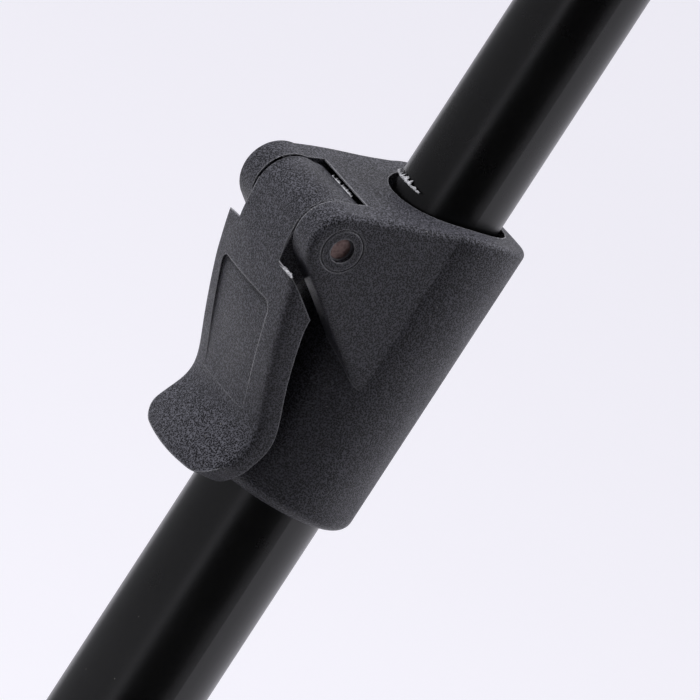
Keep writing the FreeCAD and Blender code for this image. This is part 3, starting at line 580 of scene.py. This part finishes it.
    def panel_cutter(self) -> bpy.types.Object:
        """A block with the outline of the panel, rounded at its two upper corners."""
        high, low = self.panel_levels
        wide, narrow = self.panel_halves
        bpy.ops.mesh.primitive_cube_add(size=MM, location=self.at(0, -9, (high + low) / 2),
                                        scale=(2 * wide, 8.0, high - low))
        piece = fresh("panel_cutter")
        edit(piece)
        pick(piece, Part.VERTS, lambda co, _: co.z < self.pin.z + (low + 0.1) * MM)
        bpy.ops.transform.resize(value=(narrow / wide, 1, 1), center_override=self.pin)
        top = self.pin.z + high * MM
        pick(piece, Part.EDGES, lambda co, way: abs(way.y) > 0.9 and co.z > top - NEAR)
        bpy.ops.mesh.bevel(offset=self.panel_corner * MM, segments=5)
        levels = [high - 2.4 * step for step in range(1, 7)]
        cut_at([self.pin.z + level * MM for level in levels], Vector((0, 0, 1)))
        bm = bmesh.from_edit_mesh(piece.data)
        heights = sorted({round(v.co.z, 7) for v in bm.verts})
        for z in heights:
            y = self.surface((z - self.pin.z) / MM) + 2.0
            pick(piece, Part.VERTS, lambda co, _: abs(co.z - z) < NEAR / 4
                 and co.y > self.pin.y - 6 * MM)
            bpy.ops.transform.translate(value=(0, (y + 5) * MM, 0))
        done()
        return piece

    def sink_panel(self, piece: bpy.types.Object) -> None:
        """Sinks the panel in the front of the blade, deep at its top and running out below."""
        high, low = self.panel_levels
        fall = math.atan2(self.panel_depth - self.panel_end_depth, high - low)
        foot = self.at(0, self.surface(low), low)
        lean = (Matrix.Translation(foot + Vector((0, self.panel_end_depth * MM, 0)))
                @ Matrix.Rotation(-fall, 4, "X") @ Matrix.Translation(-foot))
        floor = self.blade(cored=False)
        floor.data.transform(lean)
        cutter = self.panel_cutter()
        combine(cutter, floor, "DIFFERENCE")
        combine(piece, cutter, "DIFFERENCE")

    def hollow_back(self, piece: bpy.types.Object) -> None:
        """Cores out the back of the blade between its two flanks, row by row."""
        low, high = (self.pin.z + level * MM for level in self.hollow_levels)
        inside = self.hollow_half * MM
        pick(piece, Part.FACES, lambda co, n: n.y > 0.5 and abs(co.x) < inside
             and low < co.z < high)
        bpy.ops.mesh.inset(thickness=self.hollow_inset * MM, depth=0.0)
        bpy.ops.mesh.extrude_region_move(
            TRANSFORM_OT_translate={"value": (0, -self.hollow_inset * MM, 0)})
        cored = {v.index for v in bmesh.from_edit_mesh(piece.data).verts if v.select}
        for row in self.rows:
            z = self.pin.z + row[0] * MM
            depth = max(row[4] - row[2] - self.wall, 0.0) * 0.8 if row[0] < -6.6 else 1.0
            bpy.ops.mesh.select_all(action="DESELECT")
            mesh = bmesh.from_edit_mesh(piece.data)
            mesh.verts.ensure_lookup_table()
            for index in cored:
                mesh.verts[index].select_set(abs(mesh.verts[index].co.z - z) < 0.3 * MM)
            bmesh.update_edit_mesh(piece.data)
            bpy.ops.transform.translate(value=(0, -depth * MM, 0))

    def trim_shoulders(self, piece: bpy.types.Object) -> None:
        """Slopes the top of the two fins beside the knuckle, to clear the ears."""
        slope = math.radians(self.shoulder_slope)
        normal = Vector((0, math.sin(slope), math.cos(slope)))
        for way in (-1, 1):
            middle = (self.at(way * (self.knuckle_half + 5), 0, 0)
                      + normal * (10 - self.shoulder) * MM)
            bpy.ops.object.select_all(action="DESELECT")
            bpy.ops.mesh.primitive_cube_add(size=MM, location=middle, rotation=(-slope, 0, 0),
                                            scale=(10, 60, 20))
            combine(piece, fresh("above_fin"), "DIFFERENCE")

    def clear_housing(self, piece: bpy.types.Object) -> None:
        """Cuts the back of the blade round, to clear the housing behind it."""
        low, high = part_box("clutch_housing")
        foot = Vector((0, 0, (low[2] + high[2]) / 2))
        bpy.ops.object.select_all(action="DESELECT")
        bpy.ops.mesh.primitive_cylinder_add(vertices=128, radius=high[0] + self.clearance * MM,
                                            depth=2 * (high[2] - low[2]), location=foot)
        combine(piece, fresh("clearance"), "DIFFERENCE")

    def neck(self) -> bpy.types.Object:
        """The neck that carries the blade on the knuckle."""
        tall = -self.neck_spans[-1][0]
        bpy.ops.mesh.primitive_cube_add(size=MM, location=self.at(0, 0, -tall / 2),
                                        scale=(2 * self.knuckle_half - 0.3, 1.0, tall))
        piece = fresh("neck")
        edit(piece)
        cut_at([self.pin.z + self.neck_spans[1][0] * MM], Vector((0, 0, 1)))
        for level, front, back in self.neck_spans:
            for side, y in ((-1, front), (1, back)):
                pick(piece, Part.VERTS, lambda co, _: abs(co.z - self.pin.z - level * MM) < NEAR
                     and abs(co.y - self.pin.y - side * 0.5 * MM) < NEAR)
                bpy.ops.transform.translate(value=(0, y * MM - side * 0.5 * MM, 0))
        done()
        return piece

    def barrel(self, y: float, half: float) -> bpy.types.Object:
        """One round of the knuckle, about a line a little behind the pin or on it."""
        bpy.ops.mesh.primitive_cylinder_add(
            vertices=72, radius=self.knuckle_radius * MM, depth=2 * half * MM,
            location=self.at(0, y, 0), rotation=(0, math.pi / 2, 0))
        piece = fresh("barrel")
        edit(piece)
        pick(piece, Part.FACES, lambda co, n: abs(n.x) > 0.9)
        bpy.ops.mesh.bevel(offset=self.knuckle_edge * MM, segments=3)
        done()
        return piece

    def build(self) -> bpy.types.Object:
        """Builds the lever.

        Returns:
            The finished lever, riding on its body.
        """
        lever = self.blade(cored=True)
        self.trim_shoulders(lever)
        self.trim_lip(lever)
        self.sink_panel(lever)
        self.clear_housing(lever)
        combine(lever, self.neck(), "UNION")
        for y, half in ((0.0, self.knuckle_half), (self.cam_throw, self.knuckle_half - 0.07)):
            combine(lever, self.barrel(y, half), "UNION")
        bpy.ops.object.select_all(action="DESELECT")
        bpy.ops.mesh.primitive_cylinder_add(vertices=48, radius=self.pin_hole * MM, depth=40 * MM,
                                            location=self.pin, rotation=(0, math.pi / 2, 0))
        combine(lever, fresh("pin_hole"), "DIFFERENCE")
        smooth(lever, 38)
        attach(lever, "lever")
        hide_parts("clutch_lever")
        self.wardrobe.dress(lever, MOULDED_NYLON)
        log.info("lever: %d faces", len(lever.data.polygons))
        return lever


# ------------------------------------------------------------------ moulding flash


@dataclass
class MouldFlash:
    """Thin ragged slivers of nylon that the moulding tool left along its parting lines.

    Sizes are in millimetres, except the lift.
    """

    wardrobe: Wardrobe
    seed: int = 7
    thickness: float = 0.12
    step: float = 0.22
    foot: float = 0.25
    lift: float = 50.0  # how far placed sections are held away from the ones still to place

    def __post_init__(self) -> None:
        """Finds the pin and starts the one random series."""
        self.pin = Vector(JOINTS["lever_hinge"]["pos_m"])
        self.series = random.Random(self.seed)

    def sliver(self, name: str, path: Sequence[Vector], out: Callable[[Vector], Vector],
               height: float) -> bpy.types.Object:
        """One sliver, which stands on a path and is torn along its free edge.

        Args:
            name: The sliver's name.
            path: Points along its root, in metres.
            out: Says from a point of the root which way the sliver stands up.
            height: Its greatest height, in millimetres.

        Returns:
            The sliver as a closed mesh.
        """
        count = len(path) - 1
        bpy.ops.object.select_all(action="DESELECT")
        bpy.ops.mesh.primitive_cube_add(size=1, scale=(count, self.thickness * MM, 1.0))
        piece = fresh(name)
        edit(piece)
        cut_at([index - count / 2 for index in range(1, count)], Vector((1, 0, 0)))
        for index, root in enumerate(path):
            place = index - count / 2
            tall = height * self.series.uniform(0.05, 1.0) ** 1.5 * math.sin(
                math.pi * (index + 0.5) / (count + 1)) ** 0.5
            up = out(root).normalized()
            for level, rise in ((-0.5, -self.foot), (0.5, tall)):
                pick(piece, Part.VERTS, lambda co, _: abs(co.x - place) < 0.01
                     and abs(co.z - level) < 0.01 and abs(co.y) < MM)
                end = root + up * rise * MM + Vector((0, 0, self.lift))
                bpy.ops.transform.translate(value=end - Vector((place, 0, level)))
        pick(piece, Part.VERTS, lambda co, _: True)
        bpy.ops.transform.translate(value=(0, 0, -self.lift))
        bpy.ops.mesh.normals_make_consistent(inside=False)
        done()
        return piece

    def arc(self, centre: Vector, radius: float, start: float, end: float,
            across: Vector) -> list[Vector]:
        """Points on an arc in the plane of y and z, or of x and y when it runs across z."""
        length = abs(math.radians(end - start)) * radius
        count = max(int(length / self.step), 4)
        points = []
        for index in range(count + 1):
            turn = math.radians(start + (end - start) * index / count)
            if across.z:
                way = Vector((math.cos(turn), math.sin(turn), 0))
            else:
                way = Vector((0, math.cos(turn), math.sin(turn)))
            points.append(centre + way * radius * MM)
        return points

    def line(self, start: Vector, end: Vector) -> list[Vector]:
        """Points on a straight line, one step apart."""
        count = max(int((end - start).length / MM / self.step), 4)
        return [start.lerp(end, index / count) for index in range(count + 1)]

    def build(self, lever: ClutchLever) -> None:
        """Builds the slivers on the lever and the one at the mouth of the housing."""
        rim = lever.at(-lever.knuckle_half + 0.1, 0, 0)
        back = lever.at(0, lever.cam_throw + 1.8, lever.knuckle_radius * 0.94)
        fin = lever.at(0, -4.05, -6.5)
        side = Vector((1, 0, 0)) * MM
        pieces = [
            self.sliver("flash_knuckle_rim", self.arc(rim, lever.knuckle_radius, 104, 152, side),
                        lambda root: root - rim, 0.5),
            self.sliver("flash_knuckle_back", self.line(back - side * 4.6, back + side * 2.2),
                        lambda root: Vector((0, 0.34, 0.94)), 0.95),
            self.sliver("flash_shoulder", self.line(fin + side * 7.2, fin + side * 11.4),
                        lambda root: Vector((0, 0.5, 0.86)), 0.4),
        ]
        for piece in pieces:
            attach(piece, "lever")
        low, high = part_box("clutch_housing")
        bore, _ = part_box("glide_bush")
        mouth = Vector((0, 0, high[2]))
        pieces.append(self.sliver("flash_bore_mouth",
                                  self.arc(mouth, -bore[0] / MM, -122, -66, Vector((0, 0, 1))),
                                  lambda root: mouth - root + Vector((0, 0, 0.012)), 0.9))
        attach(pieces[-1], "column")
        for piece in pieces:
            self.wardrobe.dress(piece, TORN_NYLON)
        log.info("flash: %d slivers", len(pieces))


# ------------------------------------------------------------------ studio


@dataclass
class Studio:
    """A pale wide floor, an even sky, two softboxes, two flags and the camera."""

    wardrobe: Wardrobe
    azimuth: float = 54.03
    elevation: float = 11.93
    roll: float = 33.02
    distance: float = 1.5
    scale_px: float = 7.17
    frame_px: float = 700.0
    sensor_mm: float = 36.0
    target_rise: float = 22.47 * MM
    target_side: float = -0.47 * MM
    floor_half: float = 250.0
    sky: str = "#f4f3f8"
    bright_side: float = 100.0
    dim: float = 0.16
    bright: float = 1.05
    below: float = 0.25
    above: float = 1.5

    def __post_init__(self) -> None:
        """Works out the camera's three directions."""
        a, e = math.radians(self.azimuth), math.radians(self.elevation)
        self.back = Vector((math.sin(a) * math.cos(e), -math.cos(a) * math.cos(e), math.sin(e)))
        self.right = Vector((math.cos(a), math.sin(a), 0.0))
        self.up = self.back.cross(self.right)
        low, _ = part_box("clutch_housing")
        self.target = Vector((0, 0, low[2] + self.target_rise)) + self.right * self.target_side

    def floor(self) -> None:
        """The floor, flat and so wide that its edge is far behind the stand."""
        bpy.ops.object.select_all(action="DESELECT")
        bpy.ops.mesh.primitive_grid_add(x_subdivisions=8, y_subdivisions=8, size=2 * self.floor_half)
        piece = fresh("studio_floor")
        self.wardrobe.dress(piece, FLOOR_PAINT)
        piece.visible_diffuse = False

    def sky_light(self) -> None:
        """A pale sky that looks even, and lights the stand mostly from its right and behind."""
        world = bpy.data.worlds.new("studio_sky")
        bpy.context.scene.world = world
        world.use_nodes = True
        tree = world.node_tree
        tree.nodes.clear()
        way = self.toward(self.bright_side, 0, 1.0) - self.target
        ray = add(tree, "TexCoord").outputs["Generated"]
        turn = add(tree, "VectorMath", {1: tuple(way)}, {0: ray},
                   operation="DOT_PRODUCT").outputs["Value"]
        level = add(tree, "MapRange", {"From Min": -0.9, "From Max": 0.8, "To Min": self.dim,
                                       "To Max": self.bright}, {"Value": turn}).outputs["Result"]
        rise = add(tree, "SeparateXYZ", links={0: ray}).outputs["Z"]
        rise = add(tree, "MapRange", {"From Min": -0.35, "From Max": 0.9, "To Min": self.below,
                                      "To Max": self.above}, {"Value": rise}).outputs["Result"]
        level = add(tree, "Math", links={0: level, 1: rise}, operation="MULTIPLY").outputs[0]
        seen = add(tree, "LightPath").outputs["Is Camera Ray"]
        level = add(tree, "Mix", {"B": 1.0}, {"Factor": seen, "A": level}).outputs["Result"]
        glow = add(tree, "Background", {"Color": linear(self.sky)}, {"Strength": level})
        add(tree, "OutputWorld", links={"Surface": glow.outputs[0]})

    def toward(self, degrees: float, rise: float, distance: float) -> Vector:
        """A place seen from the target, turned right from the camera and raised."""
        a, e = math.radians(degrees), math.radians(rise)
        flat = Vector((self.back.x, self.back.y, 0)).normalized()
        way = flat * math.cos(a) + self.right * math.sin(a)
        return self.target + (way * math.cos(e) + Vector((0, 0, 1)) * math.sin(e)) * distance

    def softbox(self, name: str, degrees: float, rise: float, distance: float,
                size: float, watts: float) -> None:
        """One square softbox that faces the clutch and leaves no reflection of itself.

        Args:
            name: The light's name.
            degrees: How far it stands to the camera's right.
            rise: How far it is raised, in degrees.
            distance: How far it stands from the clutch.
            size: The length of its side.
            watts: Its power.
        """
        data = bpy.data.lights.new(name, "AREA")
        data.shape, data.size, data.energy = "SQUARE", size, watts
        lamp = bpy.data.objects.new(name, data)
        lamp.location = self.toward(degrees, rise, distance)
        lamp.rotation_euler = (lamp.location - self.target).to_track_quat("Z", "Y").to_euler()
        lamp.visible_glossy = False
        bpy.context.collection.objects.link(lamp)

    def flag(self, name: str, left: float, right: float, distance: float,
             span: tuple[float, float]) -> bpy.types.Object:
        """A black flag, curved round the stand, which casts no shadow and the camera can't see.

        Args:
            name: The flag's name.
            left: Where it begins, in degrees to the camera's right.
            right: Where it ends.
            distance: How far it stands from the clutch.
            span: Its lower and upper edge, measured from the target.

        Returns:
            The flag.
        """
        bpy.ops.object.select_all(action="DESELECT")
        bpy.ops.mesh.primitive_grid_add(x_subdivisions=12, y_subdivisions=4, size=1.0)
        piece = fresh(name)
        for vert in piece.data.vertices:
            place = self.toward(left + (vert.co.x + 0.5) * (right - left), 0, distance)
            rise = span[0] + (vert.co.y + 0.5) * (span[1] - span[0])
            vert.co = place + Vector((0, 0, rise))
        self.wardrobe.dress(piece, POWDER_COAT)
        piece.visible_camera = False
        piece.visible_shadow = False
        return piece

    def camera(self) -> None:
        """The camera, at the viewing angle that the clutch is judged from."""
        data = bpy.data.cameras.new("camera")
        data.sensor_width = self.sensor_mm
        data.lens = self.scale_px * self.distance / MM / self.frame_px * self.sensor_mm
        data.clip_start, data.clip_end = 0.05, 400.0
        eye = bpy.data.objects.new("camera", data)
        rows = Matrix((self.right, self.up, self.back)).transposed().to_4x4()
        roll = Matrix.Rotation(math.radians(self.roll), 4, "Z")
        eye.matrix_world = Matrix.Translation(self.target + self.back * self.distance) @ rows @ roll
        bpy.context.collection.objects.link(eye)
        bpy.context.scene.camera = eye

    def build(self) -> None:
        """Sets up the whole studio."""
        self.floor()
        self.sky_light()
        self.softbox("key_softbox", degrees=-80, rise=44, distance=1.2, size=0.4, watts=17.0)
        self.softbox("top_softbox", degrees=122, rise=64, distance=1.2, size=0.4, watts=10.0)
        self.flag("front_flag", left=-16, right=60, distance=0.55, span=(-0.58, 0.55))
        left = self.flag("left_flag", left=-142, right=-27, distance=0.6, span=(-0.3, 0.02))
        left.visible_diffuse = False
        self.wardrobe.dress(left, FLAG_CLOTH)
        self.camera()
        view = bpy.context.scene.view_settings
        view.view_transform, view.look = "Standard", "None"
        log.info("studio: floor, sky, softboxes, flags and camera")


def main() -> None:
    """Builds every sub-assembly in order."""
    wardrobe = Wardrobe()
    wardrobe.dress_cad()
    log.info("finishes on %d CAD nodes", len(frame["nodes"]))
    lever = ClutchLever(wardrobe)
    lever.build()
    MouldFlash(wardrobe).build(lever)
    Studio(wardrobe).build()
    only()


if __name__ == "__main__":
    main()
